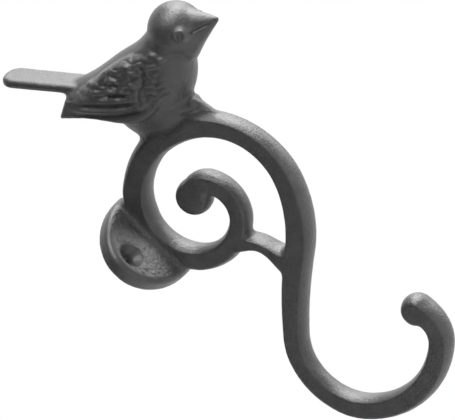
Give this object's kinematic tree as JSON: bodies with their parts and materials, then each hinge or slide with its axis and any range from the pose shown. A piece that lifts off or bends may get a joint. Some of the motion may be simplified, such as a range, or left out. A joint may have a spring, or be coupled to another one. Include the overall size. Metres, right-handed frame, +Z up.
{
  "type": "wall hook",
  "caption": "Cast-iron wall hook: a small bird perched on a scroll that runs down into a long upturned coat hook, with a half-oval plate for a countersunk screw.",
  "frame": {"origin": "on the back of the wall plate, level with the screw hole, in the scroll's mid-plane", "axes": "+X out from the wall, +Z up the wall as mounted, +Y along the wall, away from the plate's lobe; the scroll lies in the XZ plane"},
  "size_m": [0.0787, 0.034, 0.1589],
  "materials": {
    "iron": "satin"
  },
  "bodies": {
    "root": {"hook_casting": "iron"}
  },
  "joints": []
}
